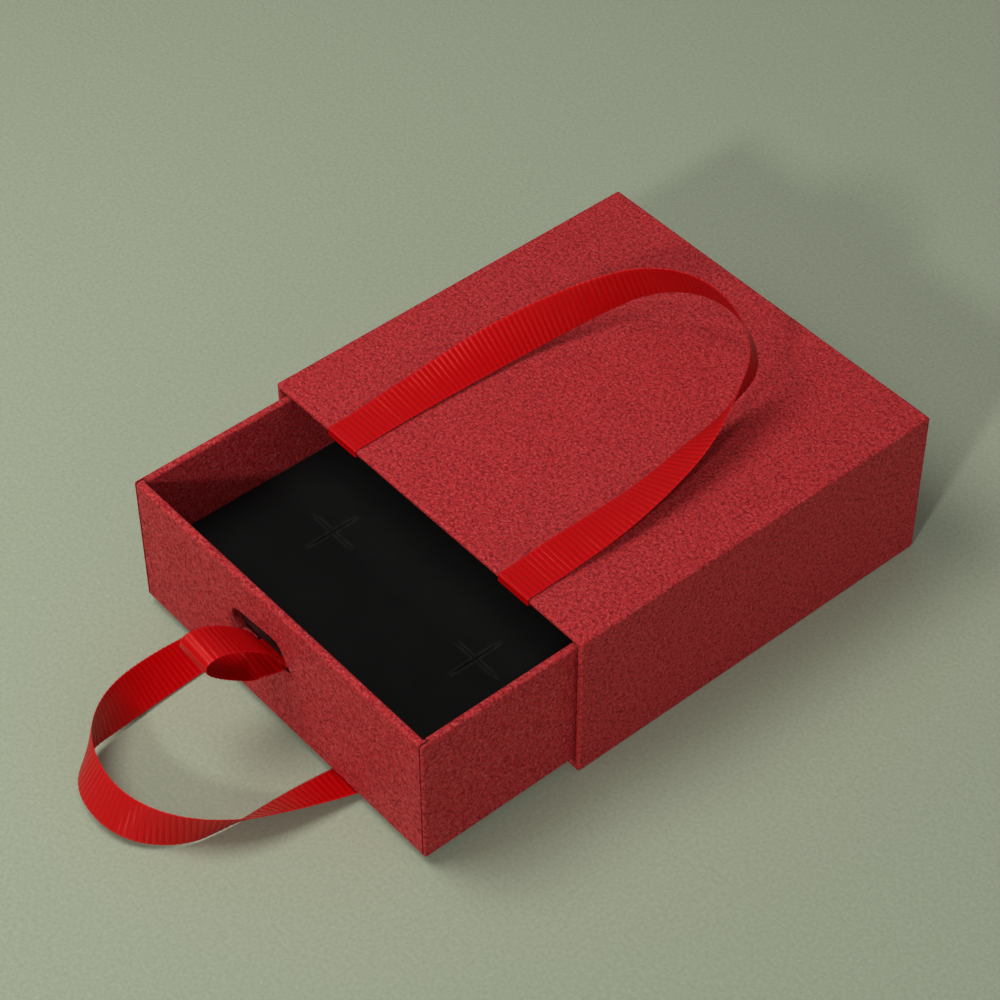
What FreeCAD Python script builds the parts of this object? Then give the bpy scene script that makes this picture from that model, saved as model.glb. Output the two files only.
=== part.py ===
"""Sliding drawer gift box: a rigid sleeve with a ribbon-pull drawer and two ribbon carry handles.

The frame is in millimetres: X runs across the box, Y from the open mouth (-Y) to the back, and
Z up. The origin is the centre of the sleeve's underside, the face that the box stands on. The
drawer is drawn out of the mouth towards -Y.
"""
import FreeCAD, Part
import math
import os

from FreeCAD import Vector

# Sleeve: outside size, greyboard, and the papers glued to it.
SLEEVE_WIDTH = 100.0
SLEEVE_DEPTH = 100.0
SLEEVE_HEIGHT = 40.0
SLEEVE_BOARD = 1.0
SLEEVE_COVER = 0.2
SLEEVE_LINING = 0.2
MOUTH_TURN_IN = 15.0
SHEET_MARGIN = 7.0
BACK_SHEET_MARGIN = 1.2

# Drawer: its board and paper, and the play that lets it slide.
DRAWER_BOARD = 1.4
DRAWER_PAPER = 0.25
DRAWER_SIDE_PLAY = 0.6
DRAWER_BASE_PLAY = 1.0
DRAWER_TOP_PLAY = 1.3
DRAWER_BACK_PLAY = 0.5
DRAWER_OUT = 39.7
FRONT_SHEET_MARGIN = 1.0

# Wrapped board: the round of each wrapped edge, the bevel of the board under it, and the groove
# where two sheets meet.
SOFT_EDGE = 0.6
BOARD_EASE = 0.4
SEAM_GAP = 0.45

# Half-moon slot in the drawer's front: its flat base above the insert, and its outline from
# that base, as (x, rise). Straight sides alternate with three-point arcs.
SLOT_ABOVE_INSERT = 2.2
SLOT_LEFT = (-12.8, 0.0)
SLOT_LEFT_SHOULDER = (-14.5, 2.6)
SLOT_LEFT_ROUND = (-14.5, 4.9)
SLOT_CROWN_LEFT = (-13.0, 6.4)
SLOT_CROWN = (-6.5, 7.2)
SLOT_CROWN_RIGHT = (-0.6, 7.7)
SLOT_RIGHT_ROUND = (1.3, 7.1)
SLOT_RIGHT_SHOULDER = (2.4, 5.7)
SLOT_RIGHT_FLANK = (4.2, 2.9)
SLOT_RIGHT = (6.6, 0.0)

# Slit in the slot's base, behind its front lip, that the pull ribbon dives through.
RIBBON_SLIT = (-8.6, 5.6)
RIBBON_SLIT_LIP = 0.7
RIBBON_SLIT_DEPTH = 1.6

# Padded insert: black foam under a velvet face, with crosswise slits to hold small things.
FOAM = 13.1
VELVET = 0.6
VELVET_EDGE = 0.4
INSERT_PLAY = 0.1
SLIT_LENGTH = 12.0
SLIT_WIDTH = 0.7
SLIT_DEPTH = 9.0
SLIT_ACROSS = 48.0
SLIT_ALONG = 29.4
SLIT_ROW_CENTRE = -0.7

# Grosgrain ribbon, and how much of it is glued inside the box.
RIBBON_WIDTH = 9.4
RIBBON = 0.35
TAIL_LENGTH = 16.0
ROOT_ROLL = 0.05
ROOT_GAP = 0.8
ROOT_STRAIGHT = 3.5
PANEL_GAP = 0.125
FLOOR_GAP = 0.07
FOOT_BEND = 0.3

# Pull ribbon: where it passes the slot, its tails behind the front, and the paper patch that
# covers them and closes the slot behind.
PULL_X = -3.2
PULL_ENDS_ABOVE_FLOOR = 3.8
PULL_RECESS = 0.8
PULL_SEAT = 0.1
PULL_NOTCH_PLAY = 0.5
PATCH_LEFT = -16.8
PATCH_RIGHT = 7.6
PATCH_BELOW_ENDS = 2.3
PATCH_ABOVE_SLOT = 9.5
PATCH_SEAT = 0.05
PATCH_PAPER = 0.15

# Top handle: its centre line as (x, distance behind the mouth, height over the panel) and the
# lean of the ribbon: 0 lies flat, 90 stands on its inner edge, and more leans inwards.
TOP_HANDLE = [
    (-26.8, 13.0, 0.8, 4.0),
    (-26.3, 25.5, 1.8, 13.0),
    (-25.3, 38.0, 3.3, 32.0),
    (-23.2, 50.5, 5.2, 53.0),
    (-19.6, 62.5, 8.1, 74.0),
    (-13.2, 73.0, 11.8, 97.0),
    (-2.6, 79.4, 14.1, 113.0),
    (9.8, 79.8, 13.9, 116.0),
    (20.3, 73.7, 10.7, 100.0),
    (25.8, 63.3, 6.9, 62.0),
    (27.7, 51.0, 4.4, 34.0),
    (28.3, 38.5, 2.9, 17.0),
    (28.7, 25.7, 1.9, 2.0),
    (29.0, 13.0, 1.1, -4.0),
]
TOP_HANDLE_LEFT = -26.8
TOP_HANDLE_RIGHT = 29.2

# Bottom handle: (x, distance before the mouth, height over the floor) and lean, as above.
BOTTOM_HANDLE = [
    (-29.2, 13.0, 0.45, 0.0),
    (-28.7, 26.0, 0.55, 0.0),
    (-28.0, 38.0, 1.05, 8.0),
    (-26.9, 50.5, 2.6, 29.0),
    (-24.3, 63.5, 4.8, 57.0),
    (-18.6, 74.8, 8.0, 94.0),
    (-8.8, 82.3, 11.0, 123.0),
    (3.5, 82.6, 10.6, 115.0),
    (12.8, 75.2, 7.4, 85.0),
    (17.3, 63.9, 4.3, 54.0),
    (19.0, 51.2, 2.7, 26.0),
    (21.0, 38.5, 1.35, 6.0),
    (23.7, 25.8, 0.7, -2.0),
    (26.5, 13.0, 0.5, -1.0),
]
BOTTOM_HANDLE_LEFT = -29.4
BOTTOM_HANDLE_RIGHT = 29.2

# Pull loop, seen from the side: its inner face as (distance before the drawer's front, rise over
# the slot's base), out along the upper layer and back along the lower one. Each arc runs from
# one point through the next to the one after.
PULL_LOOP = [
    (0.4, 0.75),
    (1.8, 3.5),
    (4.6, 6.1),
    (8.5, 8.7),
    (13.0, 10.6),
    (15.7, 8.8),
    (14.8, 6.8),
    (10.9, 4.1),
    (7.0, 1.9),
    (3.8, 0.6),
    (0.4, 0.55),
]

# Sizes that follow from the ones above.
SLEEVE_WALL = SLEEVE_COVER + SLEEVE_BOARD + SLEEVE_LINING
MOUTH_Y = -SLEEVE_DEPTH / 2
BACK_Y = SLEEVE_DEPTH / 2
CEILING_Z = SLEEVE_HEIGHT - SLEEVE_WALL
DRAWER_WALL = DRAWER_BOARD + 2 * DRAWER_PAPER
DRAWER_WIDTH = SLEEVE_WIDTH - 2 * (SLEEVE_WALL + DRAWER_SIDE_PLAY)
DRAWER_DEPTH = SLEEVE_DEPTH - SLEEVE_WALL - DRAWER_BACK_PLAY
DRAWER_BASE_Z = SLEEVE_WALL + DRAWER_BASE_PLAY
DRAWER_RIM_Z = CEILING_Z - DRAWER_TOP_PLAY
FRONT_Y = MOUTH_Y - DRAWER_OUT
TRAY_FLOOR_Z = DRAWER_BASE_Z + DRAWER_WALL
INSERT_TOP_Z = TRAY_FLOOR_Z + FOAM + VELVET
SLOT_Z = INSERT_TOP_Z + SLOT_ABOVE_INSERT
REACH = 1.0  # how far a cutter stands past the face it leaves


def block(x_range, y_range, z_range):
    """A box between two values on each axis."""
    size = [high - low for low, high in (x_range, y_range, z_range)]
    return Part.makeBox(*size, Vector(x_range[0], y_range[0], z_range[0]))


def span(half_width):
    """The range from minus to plus half_width."""
    return (-half_width, half_width)


def edges_inside(solid, x_range, y_range, z_range):
    """The solid's edges that lie wholly within a box."""
    slack = 1e-4
    found = []
    for edge in solid.Edges:
        box = edge.BoundBox
        lows = (box.XMin, box.YMin, box.ZMin)
        highs = (box.XMax, box.YMax, box.ZMax)
        limits = (x_range, y_range, z_range)
        if all(low > a - slack and high < b + slack for low, high, (a, b) in zip(lows, highs, limits)):
            found.append(edge)
    return found


def rounded(solid, edges):
    """Wrapped edges: the solid with a soft round on each of the edges."""
    return solid.makeFillet(SOFT_EDGE, edges)


def eased(solid, edges):
    """Board edges under the wrap: the solid with a small bevel on each of the edges."""
    return solid.makeChamfer(BOARD_EASE, edges)


def sleeve_shell(outside, inside, finish):
    """The sleeve's five walls, drawn in by outside and inside, with each free edge finished."""
    half_width = SLEEVE_WIDTH / 2 - outside
    outer = block(
        span(half_width), (MOUTH_Y + outside, BACK_Y - outside), (outside, SLEEVE_HEIGHT - outside)
    )
    outer = finish(outer, outer.Edges)
    wall = SLEEVE_WALL - inside
    room = span(SLEEVE_WIDTH / 2 - wall)
    heights = (wall, SLEEVE_HEIGHT - wall)
    shell = outer.cut(block(room, (MOUTH_Y - REACH, BACK_Y - wall), heights))
    mouth = (MOUTH_Y + outside, MOUTH_Y + outside)
    return finish(shell, edges_inside(shell, room, mouth, heights))


def sleeve_boards(core):
    """The greyboard core cut into the panels that it is folded from."""
    face = SLEEVE_COVER + SLEEVE_BOARD
    half = SLEEVE_WIDTH / 2
    whole_x = span(half)
    whole_y = (MOUTH_Y, BACK_Y)
    between = (face, SLEEVE_HEIGHT - face)
    zones = {
        "sleeve_board_bottom": block(whole_x, whole_y, (0, face)),
        "sleeve_board_top": block(whole_x, whole_y, (SLEEVE_HEIGHT - face, SLEEVE_HEIGHT)),
        "sleeve_board_left": block((-half, -half + face), whole_y, between),
        "sleeve_board_right": block((half - face, half), whole_y, between),
        "sleeve_board_back": block(span(half - face), (BACK_Y - face, BACK_Y), between),
    }
    return {name: core.common(zone) for name, zone in zones.items()}


def sleeve_papers(envelope, core):
    """The cover that wraps the board and turns into the mouth, the lining, and two closing sheets."""
    face = SLEEVE_COVER + SLEEVE_BOARD
    skin = envelope.cut(core)
    inside = block(
        span(SLEEVE_WIDTH / 2 - face),
        (MOUTH_Y + MOUTH_TURN_IN, BACK_Y - face),
        (face, SLEEVE_HEIGHT - face),
    )

    def base_zone(gap):
        reach = SHEET_MARGIN - gap
        return block(
            span(SLEEVE_WIDTH / 2 - reach), (MOUTH_Y + reach, BACK_Y - reach), (0, SLEEVE_COVER)
        )

    def back_zone(gap):
        reach = BACK_SHEET_MARGIN - gap
        return block(
            span(SLEEVE_WIDTH / 2 - reach),
            (BACK_Y - SLEEVE_COVER, BACK_Y),
            (reach, SLEEVE_HEIGHT - reach),
        )

    return {
        "sleeve_cover": skin.cut(inside).cut(base_zone(SEAM_GAP)).cut(back_zone(SEAM_GAP)),
        "sleeve_lining": skin.common(inside),
        "sleeve_base_sheet": skin.common(base_zone(0)),
        "sleeve_back_sheet": skin.common(back_zone(0)),
    }


def drawer_shell(outside, inside, finish):
    """The open tray, drawn in by outside and inside, with each free edge finished."""
    half_width = DRAWER_WIDTH / 2
    back = FRONT_Y + DRAWER_DEPTH
    rim = DRAWER_RIM_Z - outside
    outer = block(
        span(half_width - outside),
        (FRONT_Y + outside, back - outside),
        (DRAWER_BASE_Z + outside, rim),
    )
    outer = finish(outer, outer.Edges)
    wall = DRAWER_WALL - inside
    room = span(half_width - wall)
    depths = (FRONT_Y + wall, back - wall)
    shell = outer.cut(block(room, depths, (DRAWER_BASE_Z + wall, DRAWER_RIM_Z + REACH)))
    shell = finish(shell, edges_inside(shell, room, depths, (rim, rim)))
    return shell.cut(slot_cutter(outside)).cut(ribbon_slit_cutter(outside))


def slot_cutter(grow):
    """The half-moon slot as a cutter through the front, grown all round."""

    def at(place):
        return Vector(place[0], 0, SLOT_Z + place[1])

    edges = [
        Part.LineSegment(at(SLOT_LEFT), at(SLOT_LEFT_SHOULDER)).toShape(),
        Part.Arc(at(SLOT_LEFT_SHOULDER), at(SLOT_LEFT_ROUND), at(SLOT_CROWN_LEFT)).toShape(),
        Part.Arc(at(SLOT_CROWN_LEFT), at(SLOT_CROWN), at(SLOT_CROWN_RIGHT)).toShape(),
        Part.Arc(at(SLOT_CROWN_RIGHT), at(SLOT_RIGHT_ROUND), at(SLOT_RIGHT_SHOULDER)).toShape(),
        Part.Arc(at(SLOT_RIGHT_SHOULDER), at(SLOT_RIGHT_FLANK), at(SLOT_RIGHT)).toShape(),
        Part.LineSegment(at(SLOT_RIGHT), at(SLOT_LEFT)).toShape(),
    ]
    outline = Part.Wire(edges)
    if grow:
        outline = outline.makeOffset2D(grow)
    face = Part.Face(outline)
    face.translate(Vector(0, FRONT_Y - REACH, 0))
    return face.extrude(Vector(0, DRAWER_WALL + 2 * REACH, 0))


def ribbon_slit_cutter(grow):
    """The slit behind the slot's lip as a cutter, grown all round."""
    return block(
        (RIBBON_SLIT[0] - grow, RIBBON_SLIT[1] + grow),
        (FRONT_Y + RIBBON_SLIT_LIP - grow, FRONT_Y + DRAWER_WALL + REACH),
        (SLOT_Z - RIBBON_SLIT_DEPTH - grow, SLOT_Z + grow),
    )


def drawer_boards(core):
    """The tray's greyboard cut into floor, front, back and two sides."""
    face = DRAWER_PAPER + DRAWER_BOARD
    half = DRAWER_WIDTH / 2
    back = FRONT_Y + DRAWER_DEPTH
    above = (DRAWER_BASE_Z + face, DRAWER_RIM_Z)
    between = (FRONT_Y + face, back - face)
    zones = {
        "drawer_board_floor": block(span(half), (FRONT_Y, back), (DRAWER_BASE_Z, above[0])),
        "drawer_board_front": block(span(half), (FRONT_Y, FRONT_Y + face), above),
        "drawer_board_back": block(span(half), (back - face, back), above),
        "drawer_board_left": block((-half, -half + face), between, above),
        "drawer_board_right": block((half - face, half), between, above),
    }
    return {name: core.common(zone) for name, zone in zones.items()}


def drawer_papers(envelope, core):
    """The cover over the rim, the front sheet laid just short of the corners, and two sheets."""
    half = DRAWER_WIDTH / 2
    back = FRONT_Y + DRAWER_DEPTH
    skin = envelope.cut(core)

    def front_zone(gap):
        return block(
            span(half - FRONT_SHEET_MARGIN + gap),
            (FRONT_Y - REACH, FRONT_Y + DRAWER_WALL + gap),
            (DRAWER_BASE_Z - REACH, DRAWER_RIM_Z + REACH),
        )

    def base_zone(gap):
        reach = SHEET_MARGIN - gap
        return block(
            span(half - reach),
            (FRONT_Y + reach, back - reach),
            (DRAWER_BASE_Z, DRAWER_BASE_Z + DRAWER_PAPER),
        )

    floor = block(
        span(half - DRAWER_WALL),
        (FRONT_Y + DRAWER_WALL, back - DRAWER_WALL),
        (TRAY_FLOOR_Z - DRAWER_PAPER, TRAY_FLOOR_Z),
    )
    return {
        "drawer_cover": skin.cut(front_zone(SEAM_GAP)).cut(base_zone(SEAM_GAP)).cut(floor),
        "drawer_front_sheet": skin.common(front_zone(0)),
        "drawer_floor_liner": skin.common(floor),
        "drawer_base_sheet": skin.common(base_zone(0)),
    }


def insert_slits():
    """The cutters for the insert's four crosses."""
    centre_y = FRONT_Y + DRAWER_DEPTH / 2 + SLIT_ROW_CENTRE
    heights = (INSERT_TOP_Z - SLIT_DEPTH, INSERT_TOP_Z + REACH)
    cutters = []
    for side in (-1, 1):
        for row in (-1, 1):
            x = side * SLIT_ACROSS / 2
            y = centre_y + row * SLIT_ALONG / 2
            long_x = (x - SLIT_LENGTH / 2, x + SLIT_LENGTH / 2)
            long_y = (y - SLIT_LENGTH / 2, y + SLIT_LENGTH / 2)
            thin_x = (x - SLIT_WIDTH / 2, x + SLIT_WIDTH / 2)
            thin_y = (y - SLIT_WIDTH / 2, y + SLIT_WIDTH / 2)
            cutters.append(block(long_x, thin_y, heights).fuse(block(thin_x, long_y, heights)))
    return cutters


def insert_pieces():
    """The foam and its velvet face, cut back at the front for the glued ribbon tails."""
    room = DRAWER_WALL + INSERT_PLAY
    widths = span(DRAWER_WIDTH / 2 - room)
    depths = (FRONT_Y + room, FRONT_Y + DRAWER_DEPTH - room)
    joint_z = INSERT_TOP_Z - VELVET
    foam = block(widths, depths, (TRAY_FLOOR_Z, joint_z))
    velvet = block(widths, depths, (joint_z, INSERT_TOP_Z))
    top = edges_inside(velvet, widths, depths, (INSERT_TOP_Z, INSERT_TOP_Z))
    velvet = velvet.makeFillet(VELVET_EDGE, top)
    depth = 2 * RIBBON + PULL_SEAT + PATCH_PAPER + PULL_NOTCH_PLAY
    notch = block(
        (PATCH_LEFT - PULL_NOTCH_PLAY, PATCH_RIGHT + PULL_NOTCH_PLAY),
        (FRONT_Y + room - REACH, FRONT_Y + DRAWER_WALL + depth),
        (TRAY_FLOOR_Z - REACH, INSERT_TOP_Z + REACH),
    )
    for cutter in insert_slits() + [notch]:
        foam = foam.cut(cutter)
        velvet = velvet.cut(cutter)
    return {"insert_foam": foam, "insert_velvet": velvet}


def strap(stations):
    """A ribbon through (centre, direction across) stations, as one closed solid."""
    centres = [centre for centre, across in stations]
    rails = [[], [], [], []]
    travelled = [0.0]
    for index, (centre, across) in enumerate(stations):
        before = centres[max(index - 1, 0)]
        after = centres[min(index + 1, len(centres) - 1)]
        along = (after - before).normalize()
        across = (across - along * across.dot(along)).normalize()
        face = across.cross(along).normalize()
        side = across * (RIBBON_WIDTH / 2)
        lift = face * (RIBBON / 2)
        corners = (centre - side - lift, centre + side - lift, centre + side + lift, centre - side + lift)
        for rail, corner in zip(rails, corners):
            rail.append(corner)
        if index:
            travelled.append(travelled[-1] + (centre - before).Length)
    curves = []
    for rail in rails:
        curve = Part.BSplineCurve()
        curve.interpolate(Points=rail, Parameters=travelled)
        curves.append(curve)
    faces = []
    for index, curve in enumerate(curves):
        surface = curve.makeRuledSurface(curves[(index + 1) % 4])
        for start, end in zip(travelled, travelled[1:]):
            faces.append(surface.toShape(start, end, 0, 1))
    for end in (0, -1):
        corners = [rail[end] for rail in rails]
        faces.append(Part.Face(Part.makePolygon(corners + corners[:1])))
    shell = Part.Shell(faces)
    shell.sewShape()
    solid = Part.Solid(shell)
    if solid.Volume < 0:
        solid.reverse()
    return solid


def leaning(route, turn):
    """Stations of a handle from (point, lean): turn is 1 where the loop turns right, else -1."""
    points = [point for point, lean in route]
    stations = []
    for index, (point, lean) in enumerate(route):
        before = points[max(index - 1, 0)]
        after = points[min(index + 1, len(points) - 1)]
        along = after - before
        inwards = (Vector(along.y, -along.x, 0) * turn).normalize()
        angle = math.radians(lean)
        stations.append((point, inwards * math.cos(angle) - Vector(0, 0, 1) * math.sin(angle)))
    return stations


def root_roll(x, y, z):
    """The small roll of a ribbon at its fold, round the line that it swings about."""
    radius = RIBBON / 2 + ROOT_ROLL
    return Part.makeCylinder(radius, RIBBON_WIDTH, Vector(x - RIBBON_WIDTH / 2, y, z), Vector(1, 0, 0))


def top_handle_axis():
    """Where the top handle leaves its folds: y and z of the line that it swings about."""
    return (MOUTH_Y + SOFT_EDGE + ROOT_GAP, SLEEVE_HEIGHT + PANEL_GAP + RIBBON / 2)


def bottom_handle_axis():
    """Where the bottom handle leaves its folds: y and z of the line that it swings about."""
    return (MOUTH_Y - RIBBON - FOOT_BEND - ROOT_GAP, FLOOR_GAP + RIBBON / 2)


def handle(route, left, right, axis, direction, base_z, turn):
    """One ribbon loop from its left fold to its right one."""
    y, z = axis
    out_y = y + direction * ROOT_STRAIGHT
    points = [(Vector(left, y, z), 0.0), (Vector(left, out_y, z), 0.0)]
    for x, distance, rise, lean in route:
        points.append((Vector(x, MOUTH_Y + direction * distance, base_z + rise), lean))
    points += [(Vector(right, out_y, z), 0.0), (Vector(right, y, z), 0.0)]
    loop = strap(leaning(points, turn))
    return loop.fuse([root_roll(left, y, z), root_roll(right, y, z)])


def fold_block(x, low_z, grow):
    """The stretch of wall that a handle's fold goes round, grown by the ribbon on it."""
    tool = block(
        (x - RIBBON_WIDTH / 2, x + RIBBON_WIDTH / 2),
        (MOUTH_Y - grow, MOUTH_Y + TAIL_LENGTH),
        (low_z - grow, low_z + SLEEVE_WALL + grow),
    )
    wide = (x - RIBBON_WIDTH, x + RIBBON_WIDTH)
    front = edges_inside(tool, wide, (MOUTH_Y - grow, MOUTH_Y - grow), (-SLEEVE_HEIGHT, 2 * SLEEVE_HEIGHT))
    along_x = [edge for edge in front if edge.BoundBox.ZLength < grow / 2 + SOFT_EDGE]
    return tool.makeFillet(SOFT_EDGE + grow, along_x)


def top_tail(x):
    """A handle end glued under the top panel and folded up round the mouth's edge."""
    band = fold_block(x, CEILING_Z, RIBBON).cut(fold_block(x, CEILING_Z, 0.0))
    spare = block(
        (x - RIBBON_WIDTH, x + RIBBON_WIDTH),
        (MOUTH_Y + SOFT_EDGE, MOUTH_Y + TAIL_LENGTH + REACH),
        (SLEEVE_HEIGHT - SOFT_EDGE, SLEEVE_HEIGHT + 2 * RIBBON),
    )
    return band.cut(spare)


def bottom_tail(x):
    """A handle end glued on the sleeve's floor, folded down the mouth's edge and out again."""
    foot_y = MOUTH_Y - RIBBON - FOOT_BEND
    foot_z = FLOOR_GAP + RIBBON + FOOT_BEND
    band = fold_block(x, 0.0, RIBBON).cut(fold_block(x, 0.0, 0.0))
    wide = (x - RIBBON_WIDTH, x + RIBBON_WIDTH)
    below = block(wide, (MOUTH_Y - REACH, MOUTH_Y + TAIL_LENGTH + REACH), (-REACH, foot_z))
    start = Vector(x - RIBBON_WIDTH / 2, foot_y, foot_z)
    across = Vector(1, 0, 0)
    bend = Part.makeCylinder(FOOT_BEND + RIBBON, RIBBON_WIDTH, start, across)
    bend = bend.cut(Part.makeCylinder(FOOT_BEND, RIBBON_WIDTH, start, across))
    quarter = block(wide, (foot_y, foot_y + 2 * REACH), (foot_z - 2 * REACH, foot_z))
    return band.cut(below).fuse(bend.common(quarter)).removeSplitter()


def pull_tails():
    """The pull ribbon's two ends, laid together through the slot and down behind the front."""
    thick = 2 * RIBBON
    low = SLOT_Z + PULL_SEAT
    widths = (PULL_X - RIBBON_WIDTH / 2, PULL_X + RIBBON_WIDTH / 2)
    inner_y = FRONT_Y + DRAWER_WALL + PULL_SEAT
    through = block(widths, (FRONT_Y + PULL_RECESS, inner_y + thick), (low, low + thick))
    down = block(widths, (inner_y, inner_y + thick), (TRAY_FLOOR_Z + PULL_ENDS_ABOVE_FLOOR, low + thick))
    tails = through.fuse(down).removeSplitter()
    shoulder = edges_inside(tails, widths, (inner_y + thick, inner_y + thick), (low + thick, low + thick))
    return tails.makeFillet(thick * 0.8, shoulder)


def pull_patch():
    """The paper patch: over the pull ribbon's ends, back to the wall and up behind the slot."""
    wall = FRONT_Y + DRAWER_WALL
    over = wall + PULL_SEAT + 2 * RIBBON
    low = TRAY_FLOOR_Z + PULL_ENDS_ABOVE_FLOOR - PATCH_BELOW_ENDS
    step = SLOT_Z + PULL_SEAT + 2 * RIBBON + PATCH_SEAT
    high = SLOT_Z + PATCH_ABOVE_SLOT
    across = (PATCH_LEFT, PATCH_RIGHT)
    lower = block(across, (over, over + PATCH_PAPER), (low, step + PATCH_PAPER))
    ledge = block(across, (wall, over + PATCH_PAPER), (step, step + PATCH_PAPER))
    upper = block(across, (wall, wall + PATCH_PAPER), (step, high))
    return lower.fuse([ledge, upper]).removeSplitter()


def pull_axis():
    """y and z of the line at the slot's lip that the pull loop swings about."""
    upper, lower = PULL_LOOP[0], PULL_LOOP[-1]
    return (FRONT_Y - upper[0], SLOT_Z + (upper[1] + lower[1]) / 2)


def pull_loop():
    """The short loop that stands out of the slot, with its two layers joined at the root."""
    start = PULL_X - RIBBON_WIDTH / 2
    points = [Vector(start, FRONT_Y - distance, SLOT_Z + rise) for distance, rise in PULL_LOOP]
    arcs = [Part.Arc(*points[index : index + 3]).toShape() for index in range(0, len(points) - 2, 2)]
    profile = Part.Wire(arcs).makeOffset2D(RIBBON, fill=True, openResult=True)
    band = profile.extrude(Vector(RIBBON_WIDTH, 0, 0))
    y, z = pull_axis()
    root = Part.makeCylinder(RIBBON + ROOT_ROLL, RIBBON_WIDTH, Vector(start, y, z), Vector(1, 0, 0))
    return band.fuse(root)


def handle_pieces():
    """Both ribbon handles: each loop, and the four glued ends that stay with the sleeve."""
    top = handle(TOP_HANDLE, TOP_HANDLE_LEFT, TOP_HANDLE_RIGHT, top_handle_axis(), 1, SLEEVE_HEIGHT, 1)
    bottom = handle(
        BOTTOM_HANDLE, BOTTOM_HANDLE_LEFT, BOTTOM_HANDLE_RIGHT, bottom_handle_axis(), -1, 0.0, -1
    )
    return {
        "top_handle_loop": top,
        "top_handle_tail_left": top_tail(TOP_HANDLE_LEFT),
        "top_handle_tail_right": top_tail(TOP_HANDLE_RIGHT),
        "bottom_handle_loop": bottom,
        "bottom_handle_tail_left": bottom_tail(BOTTOM_HANDLE_LEFT),
        "bottom_handle_tail_right": bottom_tail(BOTTOM_HANDLE_RIGHT),
    }


def build():
    """Every piece of the box, by name."""
    sleeve_envelope = sleeve_shell(0.0, 0.0, rounded)
    sleeve_core = sleeve_shell(SLEEVE_COVER, SLEEVE_LINING, eased)
    drawer_envelope = drawer_shell(0.0, 0.0, rounded)
    drawer_core = drawer_shell(DRAWER_PAPER, DRAWER_PAPER, eased)
    pieces = {}
    pieces.update(sleeve_boards(sleeve_core))
    pieces.update(sleeve_papers(sleeve_envelope, sleeve_core))
    pieces.update(drawer_boards(drawer_core))
    pieces.update(drawer_papers(drawer_envelope, drawer_core))
    pieces.update(insert_pieces())
    pieces.update(handle_pieces())
    pieces["pull_ribbon_loop"] = pull_loop()
    pieces["pull_ribbon_tails"] = pull_tails()
    pieces["pull_ribbon_patch"] = pull_patch()
    return pieces


os.makedirs("parts", exist_ok=True)
for name, shape in build().items():
    print(f"{name:26s} solids {len(shape.Solids)} valid {shape.isValid()} volume {shape.Volume:.1f}")
    shape.exportStep(f"parts/{name}.step")
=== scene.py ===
"""A sliding drawer gift box: paper-wrapped sleeve and tray, velvet insert, grosgrain handles and pull."""

import math

import bmesh
import bpy
from mathutils import Matrix, Vector, noise


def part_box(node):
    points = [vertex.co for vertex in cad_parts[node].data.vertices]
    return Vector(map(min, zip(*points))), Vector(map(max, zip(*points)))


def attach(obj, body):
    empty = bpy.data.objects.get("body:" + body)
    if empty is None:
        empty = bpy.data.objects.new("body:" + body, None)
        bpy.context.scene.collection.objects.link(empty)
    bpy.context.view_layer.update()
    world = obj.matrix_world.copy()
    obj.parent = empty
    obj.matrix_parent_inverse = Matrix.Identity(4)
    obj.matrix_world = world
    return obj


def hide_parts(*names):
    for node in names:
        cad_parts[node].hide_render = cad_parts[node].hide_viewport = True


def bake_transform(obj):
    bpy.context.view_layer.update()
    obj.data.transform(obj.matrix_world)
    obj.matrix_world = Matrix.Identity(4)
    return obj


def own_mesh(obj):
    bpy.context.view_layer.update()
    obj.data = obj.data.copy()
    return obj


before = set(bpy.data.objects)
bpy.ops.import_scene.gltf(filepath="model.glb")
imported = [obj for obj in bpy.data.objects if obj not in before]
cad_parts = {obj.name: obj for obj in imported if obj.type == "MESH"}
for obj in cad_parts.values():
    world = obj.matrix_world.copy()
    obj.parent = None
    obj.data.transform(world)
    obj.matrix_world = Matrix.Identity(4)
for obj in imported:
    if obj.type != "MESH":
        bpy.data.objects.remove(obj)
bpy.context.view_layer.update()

MM = 0.001


# ---------------------------------------------------------------- camera


def camera_looking_down():
    """A short tele lens that looks down on the open drawer's corner."""
    azimuth, elevation, roll = math.radians(49.71), math.radians(45.80), math.radians(-0.23)
    distance, aside, above = 0.6617, -0.02202, 0.00633
    back = Vector(
        (
            math.sin(azimuth) * math.cos(elevation),
            -math.cos(azimuth) * math.cos(elevation),
            math.sin(elevation),
        )
    )
    level = Vector((math.cos(azimuth), math.sin(azimuth), 0))
    upright = back.cross(level)
    right = level * math.cos(roll) + upright * math.sin(roll)
    up = upright * math.cos(roll) - level * math.sin(roll)
    place = back * distance + right * aside + up * above
    lens = bpy.data.cameras.new("camera")
    lens.sensor_width = 36
    lens.lens = 105.6
    lens.clip_start = 0.01
    camera = bpy.data.objects.new("camera", lens)
    bpy.context.collection.objects.link(camera)
    turned = Matrix((right, up, back)).transposed().to_4x4()
    camera.matrix_world = Matrix.Translation(place) @ turned
    bpy.context.scene.camera = camera


camera_looking_down()


# ---------------------------------------------------------------- ribbon

RIBBON_WIDTH = 9.4 * MM
RIBBON_BODY = 0.08 * MM
RIB_HEIGHT = 0.10 * MM
RIB_PITCH = 1.30 * MM
STEPS_PER_RIB = 8
SELVEDGE_LOOP = 0.05 * MM
ACROSS = (-1.0, -0.975, -0.93, -0.86, -0.72, -0.5, -0.25, 0.0, 0.25, 0.5, 0.72, 0.86, 0.93, 0.975, 1.0)


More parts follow.
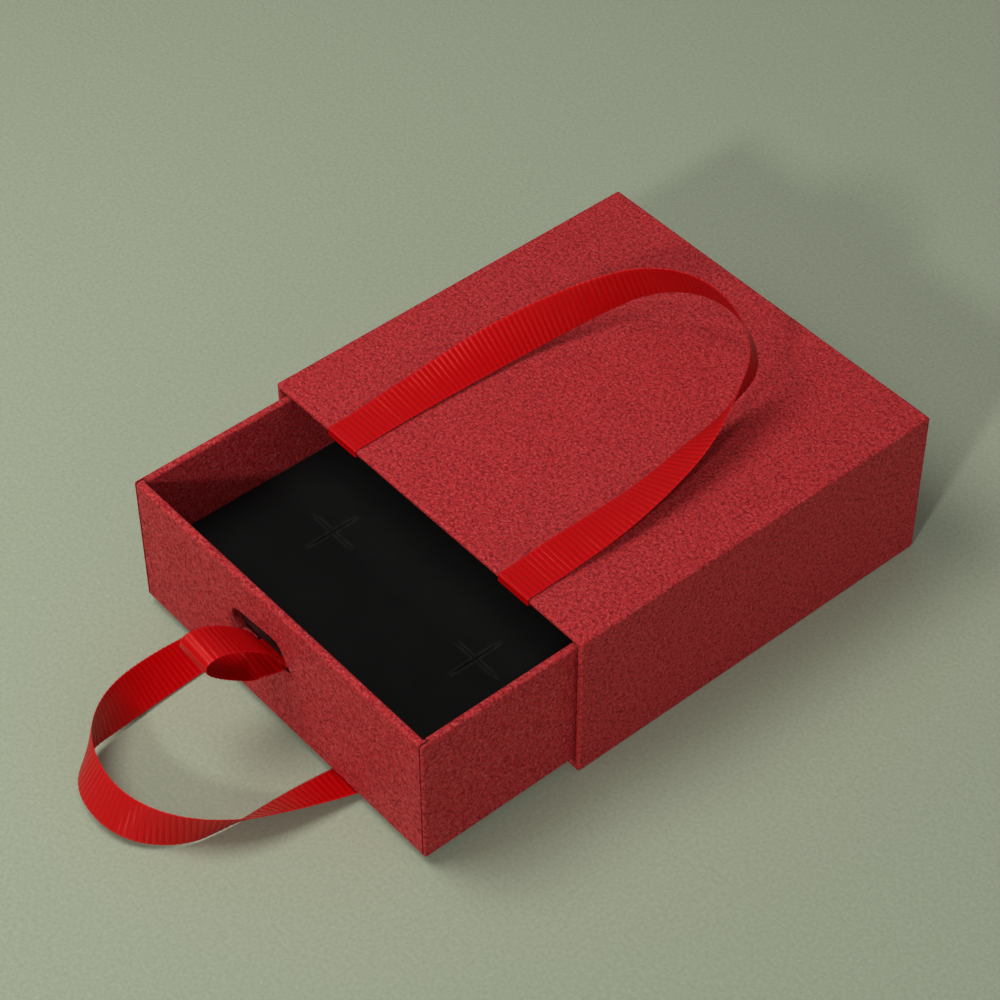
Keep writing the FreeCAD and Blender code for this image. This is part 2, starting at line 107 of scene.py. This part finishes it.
def smooth_line(points):
    """The smooth line that a ribbon's route points draw."""
    curve = bpy.data.curves.new("route", "CURVE")
    curve.dimensions = "3D"
    curve.resolution_u = 64
    spline = curve.splines.new("NURBS")
    spline.points.add(len(points) - 1)
    for point, place in zip(spline.points, points):
        point.co = (place[0], place[1], place[2], 1.0)
    spline.order_u = 3
    spline.use_endpoint_u = True
    holder = bpy.data.objects.new("route", curve)
    line = bpy.data.meshes.new_from_object(holder)
    places = [vertex.co.copy() for vertex in line.vertices]
    bpy.data.objects.remove(holder)
    bpy.data.curves.remove(curve)
    bpy.data.meshes.remove(line)
    return places


def directions_along(points):
    """Which way a route runs at each of its points."""
    befores = points[:1] + points[:-1]
    afters = points[1:] + points[-1:]
    return [(after - before).normalized() for before, after in zip(befores, afters)]


def edges_beside(points, acrosses):
    """A ribbon's left and right edge, from its middle and the directions across it."""
    left = [point - across * (RIBBON_WIDTH / 2) for point, across in zip(points, acrosses)]
    right = [point + across * (RIBBON_WIDTH / 2) for point, across in zip(points, acrosses)]
    return left, right


def leaning_sides(route, turn):
    """Both edges of a handle from (x, y, z, lean): turn is 1 where the loop turns right, else -1."""
    points = [Vector(stop[:3]) for stop in route]
    acrosses = []
    for along, stop in zip(directions_along(points), route):
        inwards = (Vector((along.y, -along.x, 0)) * turn).normalized()
        lean = math.radians(stop[3])
        across = inwards * math.cos(lean) - Vector((0, 0, 1)) * math.sin(lean)
        acrosses.append((across - along * across.dot(along)).normalized())
    return edges_beside(points, acrosses)


def level_sides(route):
    """Both edges of a ribbon that lies square to its route, from (x, y, z)."""
    points = [Vector(stop) for stop in route]
    sideways = Vector((1, 0, 0))
    acrosses = [(sideways - along * sideways.dot(along)).normalized() for along in directions_along(points)]
    return edges_beside(points, acrosses)


def even_stations(sides, step):
    """Centres and directions across, a step apart, along a ribbon's two edges."""
    left, right = (smooth_line(side) for side in sides)
    middle = [(a + b) / 2 for a, b in zip(left, right)]
    reached = [0.0]
    for before, after in zip(middle, middle[1:]):
        reached.append(reached[-1] + (after - before).length)
    count = max(2, round(reached[-1] / step))
    centres, acrosses, index = [], [], 0
    for stop in range(count + 1):
        wanted = reached[-1] * stop / count
        while index < len(reached) - 2 and reached[index + 1] < wanted:
            index += 1
        share = (wanted - reached[index]) / max(reached[index + 1] - reached[index], 1e-12)
        share = min(max(share, 0.0), 1.0)
        centres.append(middle[index].lerp(middle[index + 1], share))
        across = (right[index] - left[index]).lerp(right[index + 1] - left[index + 1], share)
        acrosses.append(across.normalized())
    return centres, acrosses, reached[-1] / count


def grosgrain(name, sides, seed):
    """A ribbon between two edges, with woven ribs and looped selvedges, and its middle line."""
    centres, acrosses, step = even_stations(sides, RIB_PITCH / STEPS_PER_RIB)
    mesh = bpy.data.meshes.new(name)
    places, woven = [], []
    count = len(centres)
    for index, (centre, along, across) in enumerate(zip(centres, directions_along(centres), acrosses)):
        across = (across - along * across.dot(along)).normalized()
        face = across.cross(along)
        travelled = index * step
        # no two ribs are quite as wide or as high
        ribs = travelled / RIB_PITCH + 0.22 * noise.noise(Vector((travelled * 160, seed, 0)))
        swell = math.sin(math.pi * ribs) ** 2
        even = 1.0 + 0.25 * noise.noise(Vector((ribs * 0.9, seed + 7, 0)))
        half_width = RIBBON_WIDTH / 2 - SELVEDGE_LOOP + SELVEDGE_LOOP * 1.6 * swell
        ring_top, ring_under = [], []
        for share in ACROSS:
            thin = math.sqrt(max(0.0, 1.0 - abs(share) ** 14)) * 0.75 + 0.25
            edge_ease = 1.0 - 0.35 * max(0.0, (abs(share) - 0.86) / 0.14)
            half = (RIBBON_BODY + RIB_HEIGHT * swell * even * edge_ease) * thin
            middle = centre + across * (share * half_width)
            ring_top.append(middle + face * half)
            ring_under.append(middle - face * half)
        places += ring_top + ring_under[::-1]
        woven.append(ribs)
    ring = 2 * len(ACROSS)
    faces = []
    for index in range(count - 1):
        for column in range(ring):
            beside = (column + 1) % ring
            faces.append(
                (
                    index * ring + column,
                    (index + 1) * ring + column,
                    (index + 1) * ring + beside,
                    index * ring + beside,
                )
            )
    for column in range(len(ACROSS) - 1):
        cap = (column, column + 1, ring - 2 - column, ring - 1 - column)
        faces.append(cap)
        faces.append(tuple((count - 1) * ring + corner for corner in reversed(cap)))
    mesh.from_pydata([tuple(place) for place in places], [], faces)
    mesh.update()
    threads = mesh.uv_layers.new(name="threads")
    columns = list(ACROSS) + list(ACROSS)[::-1]
    for loop in mesh.loops:
        row, column = divmod(loop.vertex_index, ring)
        threads.data[loop.index].uv = (columns[column] * RIBBON_WIDTH / 2 / MM, woven[row])
    mesh.polygons.foreach_set("use_smooth", [True] * len(mesh.polygons))
    piece = bpy.data.objects.new(name, mesh)
    bpy.context.collection.objects.link(piece)
    return piece, centres


# Handles: (x, y, z) of the ribbon's middle and its lean. 0 lies flat and 90 stands on its inner edge.
TOP_HANDLE = [
    (-0.0268, -0.04935, 0.0403, 0),
    (-0.0268, -0.0450, 0.0403, 0),
    (-0.0268, -0.0370, 0.0408, 4),
    (-0.0263, -0.0245, 0.0418, 13),
    (-0.0253, -0.0120, 0.0433, 32),
    (-0.0232, 0.0005, 0.0452, 53),
    (-0.0196, 0.0125, 0.0481, 74),
    (-0.0132, 0.0234, 0.0524, 99),
    (-0.0026, 0.0299, 0.0549, 115),
    (0.0099, 0.0305, 0.0548, 117),
    (0.0214, 0.0257, 0.0516, 104),
    (0.0245, 0.0148, 0.0474, 68),
    (0.0274, 0.0014, 0.0446, 32),
    (0.0291, -0.0115, 0.0430, 21),
    (0.0297, -0.0243, 0.0420, 5),
    (0.0294, -0.0370, 0.0411, -3),
    (0.0292, -0.0450, 0.0403, 0),
    (0.0292, -0.04935, 0.0403, 0),
]
BOTTOM_HANDLE = [
    (-0.0294, -0.0513, 0.00030, 0),
    (-0.0294, -0.05505, 0.00030, 0),
    (-0.0292, -0.0630, 0.00045, 0),
    (-0.0287, -0.0760, 0.00055, 0),
    (-0.0280, -0.0880, 0.00105, 8),
    (-0.0269, -0.1005, 0.0026, 29),
    (-0.0243, -0.1135, 0.0048, 57),
    (-0.0196, -0.1252, 0.0066, 99),
    (-0.0108, -0.1318, 0.0069, 127),
    (0.0020, -0.1322, 0.0064, 123),
    (0.0124, -0.1250, 0.0054, 91),
    (0.0173, -0.1139, 0.0043, 54),
    (0.0190, -0.1012, 0.0027, 26),
    (0.0210, -0.0885, 0.00135, 6),
    (0.0237, -0.0758, 0.0007, -2),
    (0.0265, -0.0630, 0.0005, -1),
    (0.0292, -0.05505, 0.00030, 0),
    (0.0292, -0.0513, 0.00030, 0),
]
# Pull loop: out of the slot, up and over its crown, and back beneath itself, a little askew.
PULL_LOOP = [
    (-0.0026, -0.0889, 0.02083),
    (-0.0026, -0.0894, 0.0210),
    (-0.0028, -0.0903, 0.0246),
    (-0.0031, -0.0941, 0.0287),
    (-0.0034, -0.0985, 0.0320),
    (-0.0039, -0.1030, 0.0338),
    (-0.0042, -0.1066, 0.0332),
    (-0.0042, -0.1070, 0.0303),
    (-0.0040, -0.1040, 0.0270),
    (-0.0037, -0.1000, 0.0238),
    (-0.0033, -0.0960, 0.0211),
    (-0.0028, -0.0930, 0.0212),
    (-0.0025, -0.0905, 0.0203),
    (-0.0024, -0.0889, 0.02048),
]
# Glued ends: (y, z) of the ribbon's middle, from inside the sleeve out round its mouth.
TOP_TAIL = [
    (-0.0340, 0.03843),
    (-0.0420, 0.03843),
    (-0.0494, 0.03843),
    (-0.0502, 0.03843),
    (-0.0502, 0.0384),
    (-0.0502, 0.0395),
    (-0.0502, 0.04028),
    (-0.0497, 0.0403),
    (-0.04935, 0.0403),
]
BOTTOM_TAIL = [
    (-0.0340, 0.00158),
    (-0.0420, 0.00158),
    (-0.0495, 0.00158),
    (-0.0502, 0.00158),
    (-0.0502, 0.0012),
    (-0.0502, 0.0007),
    (-0.0502, 0.0003),
    (-0.0507, 0.0003),
    (-0.0513, 0.0003),
]
# Pull tails: (y, z) of each layer's middle, from the slot down behind the front.
PULL_TAIL_UPPER = [
    (-0.0889, 0.02083),
    (-0.0882, 0.02083),
    (-0.08717, 0.0208),
    (-0.08717, 0.0194),
    (-0.08717, 0.0150),
    (-0.08717, 0.0090),
]
PULL_TAIL_LOWER = [
    (-0.0889, 0.02048),
    (-0.0882, 0.02048),
    (-0.08753, 0.0204),
    (-0.08753, 0.0192),
    (-0.08753, 0.0150),
    (-0.08753, 0.0090),
]


def handles():
    """Both carrying handles, their glued ends, and the drawer's pull."""
    ribbons = []
    top, line = grosgrain("top_handle_ribbon", leaning_sides(TOP_HANDLE, 1), 1.0)
    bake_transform(top)
    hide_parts("top_handle_loop")
    ribbons.append(top)

    bottom, line = grosgrain("bottom_handle_ribbon", leaning_sides(BOTTOM_HANDLE, -1), 2.0)
    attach(bottom, "bottom_handle")
    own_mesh(bottom)
    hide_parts("bottom_handle_loop")
    ribbons.append(bottom)

    for side, end in (("left", 0), ("right", -1)):
        for name, x, route, node in (
            ("top_ribbon_fold_" + side, TOP_HANDLE[end][0], TOP_TAIL, "top_handle_tail_" + side),
            ("bottom_ribbon_fold_" + side, BOTTOM_HANDLE[end][0], BOTTOM_TAIL, "bottom_handle_tail_" + side),
        ):
            tail, line = grosgrain(name, level_sides([(x, y, z) for y, z in route]), x * 900)
            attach(tail, "sleeve")
            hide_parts(node)
            ribbons.append(tail)

    pull, line = grosgrain("pull_ribbon", level_sides(PULL_LOOP), 5.0)
    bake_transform(pull)
    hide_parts("pull_ribbon_loop")
    ribbons.append(pull)
    for name, x, route in (
        ("pull_ribbon_end_upper", PULL_LOOP[0][0], PULL_TAIL_UPPER),
        ("pull_ribbon_end_lower", PULL_LOOP[-1][0], PULL_TAIL_LOWER),
    ):
        tail, line = grosgrain(name, level_sides([(x, y, z) for y, z in route]), x * 900)
        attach(tail, "drawer")
        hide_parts("pull_ribbon_tails")
        ribbons.append(tail)
    return ribbons


ribbons = handles()


# ---------------------------------------------------------------- velvet face of the insert

SLIT_LENGTH = 12.0 * MM
SLIT_X = 24.0 * MM
SLIT_Y = (-56.05 * MM, -26.65 * MM)
SLIT_DIP = 0.42 * MM
SLIT_FLARE = 0.2 * MM
LIP_AWAY = 0.5 * MM
LIP_WIDTH = 0.28 * MM
SOFT_EDGE = 0.55 * MM
NAP_DIP = 0.10 * MM
GRID_STEP = 1.4 * MM
UNDERSIDE_LIFT = 0.02 * MM
NOTCH_LEFT, NOTCH_RIGHT, NOTCH_BACK = -17.3 * MM, 8.1 * MM, -86.35 * MM


def lines_between(low, high, spacing, dense):
    """Grid lines from low to high, spacing apart, and closer together round each dense place."""
    places = {round(low, 7), round(high, 7)}
    count = round((high - low) / spacing)
    places |= {round(low + (high - low) * index / count, 7) for index in range(count + 1)}
    for edge, inward in ((low, 1), (high, -1)):
        places |= {round(edge + inward * away * MM, 7) for away in (0.08, 0.2, 0.35, 0.55, 0.8)}
    for middle in dense:
        near = {round(middle + index * 0.13 * MM, 7) for index in range(-8, 9)}
        places = {place for place in places if abs(place - middle) > 1.25 * MM} | near
    return sorted(places)


def slit_distance(x, y):
    """How far a place on the insert is from the nearest slit's line."""
    nearest = 1.0
    for middle_x in (-SLIT_X, SLIT_X):
        for middle_y in SLIT_Y:
            away_x, away_y = abs(x - middle_x), abs(y - middle_y)
            spare_x = max(0.0, away_x - SLIT_LENGTH / 2)
            spare_y = max(0.0, away_y - SLIT_LENGTH / 2)
            nearest = min(nearest, math.hypot(away_x, spare_y), math.hypot(away_y, spare_x))
    return nearest


def rim_in_order(form):
    """The vertices round a sheet's one open edge, in turn."""
    edges = [edge for edge in form.edges if edge.is_boundary]
    beside = {}
    for edge in edges:
        one, other = edge.verts
        beside.setdefault(one, []).append(other)
        beside.setdefault(other, []).append(one)
    walked = list(edges[0].verts)
    while len(walked) < len(edges):
        walked.append(next(vertex for vertex in beside[walked[-1]] if vertex != walked[-2]))
    return walked


def velvet_face():
    """The velvet glued on the foam: a soft edge, a notch at the pull's ends, and four crosses cut in it."""
    low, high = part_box("insert_velvet")
    across = lines_between(low.x, high.x, GRID_STEP, (-SLIT_X, SLIT_X))
    across = sorted(set(across) | {NOTCH_LEFT, NOTCH_RIGHT})
    along = lines_between(low.y, high.y, GRID_STEP, SLIT_Y)
    along = sorted({y for y in along if abs(y - NOTCH_BACK) > 0.2 * MM} | {NOTCH_BACK})
    form = bmesh.new()
    lip_sheen_layer = form.verts.layers.float.new("slit_lip_sheen")
    grid = {}
    for i, x in enumerate(across):
        for j, y in enumerate(along):
            edge = min(x - low.x, high.x - x, y - low.y, high.y - y)
            if NOTCH_LEFT - SOFT_EDGE < x < NOTCH_RIGHT + SOFT_EDGE and y < NOTCH_BACK + SOFT_EDGE:
                edge = min(edge, max(y - NOTCH_BACK, NOTCH_LEFT - x, x - NOTCH_RIGHT, 0.0))
            drop = SOFT_EDGE - math.sqrt(max(0.0, SOFT_EDGE**2 - (SOFT_EDGE - min(edge, SOFT_EDGE)) ** 2))
            away = slit_distance(x, y)
            cut = SLIT_DIP * math.exp(-((away / SLIT_FLARE) ** 2))
            lip = math.exp(-(((away - LIP_AWAY) / LIP_WIDTH) ** 2))
            hollow = NAP_DIP * (0.5 + 0.5 * noise.noise(Vector((x * 70, y * 70, 3.0))))
            z = high.z - min(SOFT_EDGE, drop + cut + hollow * (1 - lip))
            vertex = form.verts.new((x, y, z))
            # painted sheen along the lips of the slits, read by the velvet's colour
            vertex[lip_sheen_layer] = lip * (0.55 + 0.5 * noise.noise(Vector((x * 900, y * 900, 1.0))))
            grid[i, j] = vertex
    for i in range(len(across) - 1):
        for j in range(len(along) - 1):
            middle_x = (across[i] + across[i + 1]) / 2
            middle_y = (along[j] + along[j + 1]) / 2
            if NOTCH_LEFT < middle_x < NOTCH_RIGHT and middle_y < NOTCH_BACK:
                continue
            form.faces.new((grid[i, j], grid[i + 1, j], grid[i + 1, j + 1], grid[i, j + 1]))
    for vertex in [vertex for vertex in form.verts if not vertex.link_faces]:
        form.verts.remove(vertex)
    rim = rim_in_order(form)
    under = [form.verts.new((vertex.co.x, vertex.co.y, low.z + UNDERSIDE_LIFT)) for vertex in rim]
    for index in range(len(rim)):
        form.faces.new((rim[index - 1], rim[index], under[index], under[index - 1]))
    form.faces.new(under)
    bmesh.ops.recalc_face_normals(form, faces=form.faces)
    mesh = bpy.data.meshes.new("velvet_face")
    form.to_mesh(mesh)
    form.free()
    for polygon in mesh.polygons:
        polygon.use_smooth = polygon.normal.z > -0.5
    piece = bpy.data.objects.new("velvet_face", mesh)
    bpy.context.collection.objects.link(piece)
    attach(piece, "drawer")
    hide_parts("insert_velvet")
    return piece


velvet = velvet_face()


# ---------------------------------------------------------------- materials

# Sizes of the patterns, in millimetres.
PEBBLE = 1.0
WARP_PITCH = 0.25
FOAM_CELL = 0.6


def linear(hex_colour):
    """A written sRGB colour, as the shader wants it."""
    channels = [int(hex_colour[place : place + 2], 16) / 255 for place in (1, 3, 5)]
    return tuple(c / 12.92 if c <= 0.04045 else ((c + 0.055) / 1.055) ** 2.4 for c in channels) + (1.0,)


def add(tree, kind, settings=(), links=()):
    """One node: its settings by name, and each of its inputs as a value or another node's socket."""
    node = tree.nodes.new("ShaderNode" + kind)
    for name, value in dict(settings).items():
        setattr(node, name, value)
    for name, value in dict(links).items():
        if isinstance(value, bpy.types.NodeSocket):
            tree.links.new(value, node.inputs[name])
        else:
            node.inputs[name].default_value = value
    return node


def finish_named(name):
    """A new material, its empty tree, and its shader linked to the surface."""
    material = bpy.data.materials.new(name)
    material.use_nodes = True
    tree = material.node_tree
    tree.nodes.clear()
    shader = add(tree, "BsdfPrincipled")
    add(tree, "OutputMaterial", links={"Surface": shader.outputs["BSDF"]})
    return material, tree, shader


def in_millimetres(tree):
    """The piece's own coordinates, in millimetres."""
    place = add(tree, "TexCoord")
    return add(
        tree, "Mapping", links={"Vector": place.outputs["Object"], "Scale": (1000.0, 1000.0, 1000.0)}
    ).outputs["Vector"]


def noisy(tree, place, scale, detail, roughness):
    """A noise texture: scale is patches for each millimetre."""
    links = {"Vector": place, "Scale": scale, "Detail": detail, "Roughness": roughness}
    return add(tree, "TexNoise", links=links)


def eased(tree, value, start, stop, first, last):
    """A value that goes softly from first to last as another goes from start to stop."""
    links = {"Value": value, "From Min": start, "From Max": stop, "To Min": first, "To Max": last}
    return add(tree, "MapRange", {"interpolation_type": "SMOOTHSTEP"}, links).outputs["Result"]


def ramped(tree, value, start, stop, first, last):
    """A value that goes straight from first to last as another goes from start to stop."""
    links = {"Value": value, "From Min": start, "From Max": stop, "To Min": first, "To Max": last}
    return add(tree, "MapRange", {}, links).outputs["Result"]


def worked_out(tree, operation, *values):
    """One sum done on values or sockets."""
    return add(tree, "Math", {"operation": operation}, dict(enumerate(values))).outputs["Value"]


def two_tones(tree, factor, start, first, stop, last):
    """A colour that goes from one written tone to another as the factor goes from start to stop."""
    ramp = add(tree, "ValToRGB", links={"Fac": factor})
    low, high = ramp.color_ramp.elements[0], ramp.color_ramp.elements[1]
    low.position, low.color = start, linear(first)
    high.position, high.color = stop, linear(last)
    return ramp.outputs["Color"]


def overlaid(tree, share, under, over):
    """One colour with a share of another over it."""
    return add(tree, "Mix", {"data_type": "RGBA"}, {0: share, 6: under, 7: linear(over)}).outputs[2]


def surface(tree, shader, colour, height, strength, depth):
    """The shader's colour, and its bump of a depth in metres."""
    tree.links.new(colour, shader.inputs["Base Color"])
    bump = add(tree, "Bump", links={"Height": height, "Strength": strength, "Distance": depth})
    tree.links.new(bump.outputs["Normal"], shader.inputs["Normal"])


def evenly(shader, **values):
    """Uniform values, each on the shader's own socket."""
    for name, value in values.items():
        shader.inputs[name.replace("_", " ")].default_value = value


def leatherette_paper():
    """Grained leatherette paper: a soft matte red, embossed with fine dark crackle lines round pebbles, with
    a painted sheen of pinker specks.
    """
    material, tree, shader = finish_named("grained_leatherette_paper")
    place = in_millimetres(tree)
    # the crackle wanders by about half a millimetre
    wander = noisy(tree, place, 0.9, 4.0, 0.7).outputs["Color"]
    shift = add(
        tree, "VectorMath", {"operation": "MULTIPLY_ADD"}, {0: wander, 1: (1.7, 1.7, 1.7), 2: place}
    ).outputs["Vector"]
    # crackle lines run round pebbles about a millimetre across
    cells = add(
        tree,
        "TexVoronoi",
        {"feature": "DISTANCE_TO_EDGE"},
        {"Vector": shift, "Scale": 1 / PEBBLE, "Randomness": 1.0},
    ).outputs["Distance"]
    line = eased(tree, cells, 0.02, 0.19, 1.0, 0.0)
    # and break off every millimetre or two, where the emboss bites less
    bite = noisy(tree, place, 1.0, 2.0, 0.6).outputs["Fac"]
    groove = worked_out(tree, "MULTIPLY", line, ramped(tree, bite, 0.42, 0.58, 0.1, 0.9))
    # colour: a faint cloudiness some 8 mm across, and a darker print in the lines
    cloud = noisy(tree, place, 0.12, 3.0, 0.6).outputs["Fac"]
    printed = two_tones(tree, cloud, 0.3, "#B42B2E", 0.7, "#BC3033")
    grooved = overlaid(tree, groove, printed, "#84161E")
    # painted sheen: the pebbles' tops show a paler, pinker red in specks of half a millimetre, standing in
    # for glints of light
    speck = noisy(tree, place, 1.7, 3.0, 0.65).outputs["Fac"]
    sheen_specks_painted = ramped(tree, speck, 0.50, 0.68, 0.0, 0.6)
    coloured = overlaid(tree, sheen_specks_painted, grooved, "#D8605E")
    # height: lines 0.1 mm deep, pebbles that rise a little between them, and the specks' tooth
    pebble = eased(tree, cells, 0.0, 0.4, 0.0, 0.5)
    relief = worked_out(tree, "SUBTRACT", pebble, groove)
    surface(tree, shader, coloured, worked_out(tree, "MULTIPLY_ADD", speck, 1.0, relief), 0.8, 0.12 * MM)
    # the lines are duller than the pebbles
    tree.links.new(ramped(tree, groove, 0.0, 1.0, 0.42, 0.7), shader.inputs["Roughness"])
    evenly(shader, IOR=1.47, Specular_IOR_Level=0.08)
    return material


def polyester_grosgrain():
    """Polyester grosgrain: a saturated red, warp threads over heavy ribs, satin light on each rib."""
    material, tree, shader = finish_named("red_polyester_grosgrain")
    woven = add(tree, "UVMap", {"uv_map": "threads"}).outputs["UV"]
    parts = add(tree, "SeparateXYZ", links={"Vector": woven})
    # one rib for each unit of V: the furrow between two ribs gets a painted shade, a darker red line
    turned = worked_out(tree, "MULTIPLY", parts.outputs["Y"], math.pi)
    rise = worked_out(tree, "ABSOLUTE", worked_out(tree, "SINE", turned))
    furrow = eased(tree, rise, 0.0, 0.8, 0.6, 0.0)
    # warp threads lie side by side across the width, some a little lighter than others
    thread_phase = worked_out(tree, "MULTIPLY", parts.outputs["X"], 2 * math.pi / WARP_PITCH)
    thread = worked_out(tree, "SINE", thread_phase)
    stretched = add(tree, "Mapping", links={"Vector": woven, "Scale": (3.2, 0.7, 1.0)}).outputs["Vector"]
    streak = noisy(tree, stretched, 1.0, 3.0, 0.6).outputs["Fac"]
    dyed = two_tones(tree, streak, 0.25, "#B60307", 0.8, "#C6050C")
    # painted shade: a darker red in each furrow
    shaded = overlaid(tree, furrow, dyed, "#A20206")
    # painted highlight: the selvedge, woven tighter, is a brighter red over the last 0.5 mm
    outward = worked_out(tree, "ABSOLUTE", parts.outputs["X"])
    selvedge = eased(tree, outward, 4.1, 4.5, 0.0, 0.4)
    selvedge_highlighted = overlaid(tree, selvedge, shaded, "#D0141C")
    surface(tree, shader, selvedge_highlighted, worked_out(tree, "MULTIPLY_ADD", thread, 0.35, streak), 0.5, 0.04 * MM)
    # the ribs' crests are glossier than the furrows
    tree.links.new(ramped(tree, furrow, 0.0, 0.6, 0.23, 0.42), shader.inputs["Roughness"])
    # the filaments' light is drawn out across the ribbon and stays narrow along it
    across = add(tree, "Tangent", {"direction_type": "UV_MAP", "uv_map": "threads"}).outputs["Tangent"]
    tree.links.new(across, shader.inputs["Tangent"])
    evenly(shader, Anisotropic=1.0, IOR=1.53, Specular_IOR_Level=0.55, Specular_Tint=linear("#FF7A72"))
    return material


def flocked_velvet():
    """Flocked velvet: black pile that swallows light, with a painted sheen: a grey bloom along the lips of
    the slits.
    """
    material, tree, shader = finish_named("black_flocked_velvet")
    place = in_millimetres(tree)
    # pile clumps about 0.5 mm across, brushed this way and that in broad patches
    pile = noisy(tree, place, 2.0, 3.0, 0.7).outputs["Fac"]
    brushed = noisy(tree, place, 0.06, 3.0, 0.6).outputs["Fac"]
    black = two_tones(tree, worked_out(tree, "MULTIPLY", pile, brushed), 0.12, "#0C0C0B", 0.42, "#121211")
    # painted sheen: a grey bloom along the slits' lips
    lip = add(tree, "Attribute", {"attribute_name": "slit_lip_sheen"}).outputs["Fac"]
    surface(tree, shader, overlaid(tree, lip, black, "#242422"), pile, 0.4, 0.12 * MM)
    evenly(shader, Roughness=0.95, IOR=1.45, Specular_IOR_Level=0.15, Sheen_Weight=0.06, Sheen_Roughness=0.4)
    return material


def greyboard():
    """Greyboard with a painted shade: a dull dark red where a seam or slot shows it, with grey fibres."""
    material, tree, shader = finish_named("greyboard_painted_shade")
    fibre = noisy(tree, in_millimetres(tree), 1.3, 6.0, 0.75).outputs["Fac"]
    surface(tree, shader, two_tones(tree, fibre, 0.3, "#3A0A0C", 0.8, "#5C2422"), fibre, 0.4, 0.1 * MM)
    evenly(shader, Roughness=0.85, IOR=1.45)
    return material


def open_cell_foam():
    """Black open-cell foam: a dull sponge of small round cells."""
    material, tree, shader = finish_named("black_open_cell_foam")
    links = {"Vector": in_millimetres(tree), "Scale": 1 / FOAM_CELL}
    cells = add(tree, "TexVoronoi", {"feature": "F1"}, links).outputs["Distance"]
    surface(tree, shader, two_tones(tree, cells, 0.1, "#080808", 0.7, "#171716"), cells, 0.8, 0.3 * MM)
    evenly(shader, Roughness=0.9, IOR=1.45)
    return material


def backdrop_board():
    """The studio table: sage-grey backdrop paper with a very faint tooth."""
    material, tree, shader = finish_named("sage_backdrop_paper")
    tooth = noisy(tree, in_millimetres(tree), 1.1, 3.0, 0.7).outputs["Fac"]
    surface(tree, shader, two_tones(tree, tooth, 0.25, "#979F87", 0.75, "#ABB49B"), tooth, 0.2, 0.1 * MM)
    evenly(shader, Roughness=0.8, IOR=1.45)
    return material


def dress():
    """Every piece and every carried-over node gets its finish."""
    paper, ribbon = leatherette_paper(), polyester_grosgrain()
    velvet_finish, board, foam = flocked_velvet(), greyboard(), open_cell_foam()
    for piece in ribbons:
        piece.data.materials.append(ribbon)
    velvet.data.materials.append(velvet_finish)
    for name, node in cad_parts.items():
        # painted shade: the patch behind the slot gets the board's dull dark finish, so that the slot reads
        # as a shaded hollow
        if "board" in name or name == "pull_ribbon_patch":
            finish = board
        elif name == "insert_foam":
            finish = foam
        elif name == "insert_velvet":
            finish = velvet_finish
        elif "handle" in name or name in ("pull_ribbon_loop", "pull_ribbon_tails"):
            finish = ribbon
        else:
            finish = paper
        if not node.material_slots:
            node.data.materials.append(finish)
        for held in node.material_slots:
            held.material = finish


dress()


# ---------------------------------------------------------------- floor and light

FLOOR_SIZE = 2.5
FLOOR_DROP = 0.03 * MM


def table_top():
    """The pale floor that the box stands on."""
    form = bmesh.new()
    bmesh.ops.create_grid(form, x_segments=8, y_segments=8, size=FLOOR_SIZE)
    for vertex in form.verts:
        vertex.co.z = -FLOOR_DROP
    mesh = bpy.data.meshes.new("table_top")
    form.to_mesh(mesh)
    form.free()
    floor = bpy.data.objects.new("table_top", mesh)
    bpy.context.collection.objects.link(floor)
    mesh.materials.append(backdrop_board())


def soft_box(name, place, aim, size, power):
    """A square studio light at a place, turned to its aim."""
    lamp = bpy.data.lights.new(name, "AREA")
    lamp.shape = "SQUARE"
    lamp.size = size
    lamp.energy = power
    holder = bpy.data.objects.new(name, lamp)
    bpy.context.collection.objects.link(holder)
    direction = Vector(aim) - Vector(place)
    holder.matrix_world = Matrix.Translation(place) @ direction.to_track_quat("-Z", "Y").to_matrix().to_4x4()
    holder.visible_camera = False
    return holder


def studio():
    """A key light low at the front right, a broad fill, a soft box above, and a dim room."""
    scene = bpy.context.scene
    scene.view_settings.view_transform = "Standard"
    world = bpy.data.worlds.new("dim_room")
    scene.world = world
    world.use_nodes = True
    room = world.node_tree.nodes["Background"]
    room.inputs["Color"].default_value = (1.0, 1.0, 1.0, 1.0)
    room.inputs["Strength"].default_value = 0.22
    toward_key = Vector((27.9, -68.9, 40.0)).normalized()
    soft_box("key_light", toward_key * 3.0, (0, -0.03, 0), 0.24, 30.0)
    soft_box("side_fill", (1.2, -0.25, 0.45), (0, -0.03, 0.02), 0.9, 1.2)
    soft_box("overhead_soft_box", (-0.15, -0.22, 0.50), (-0.08, -0.08, 0), 0.30, 1.75)


table_top()
studio()
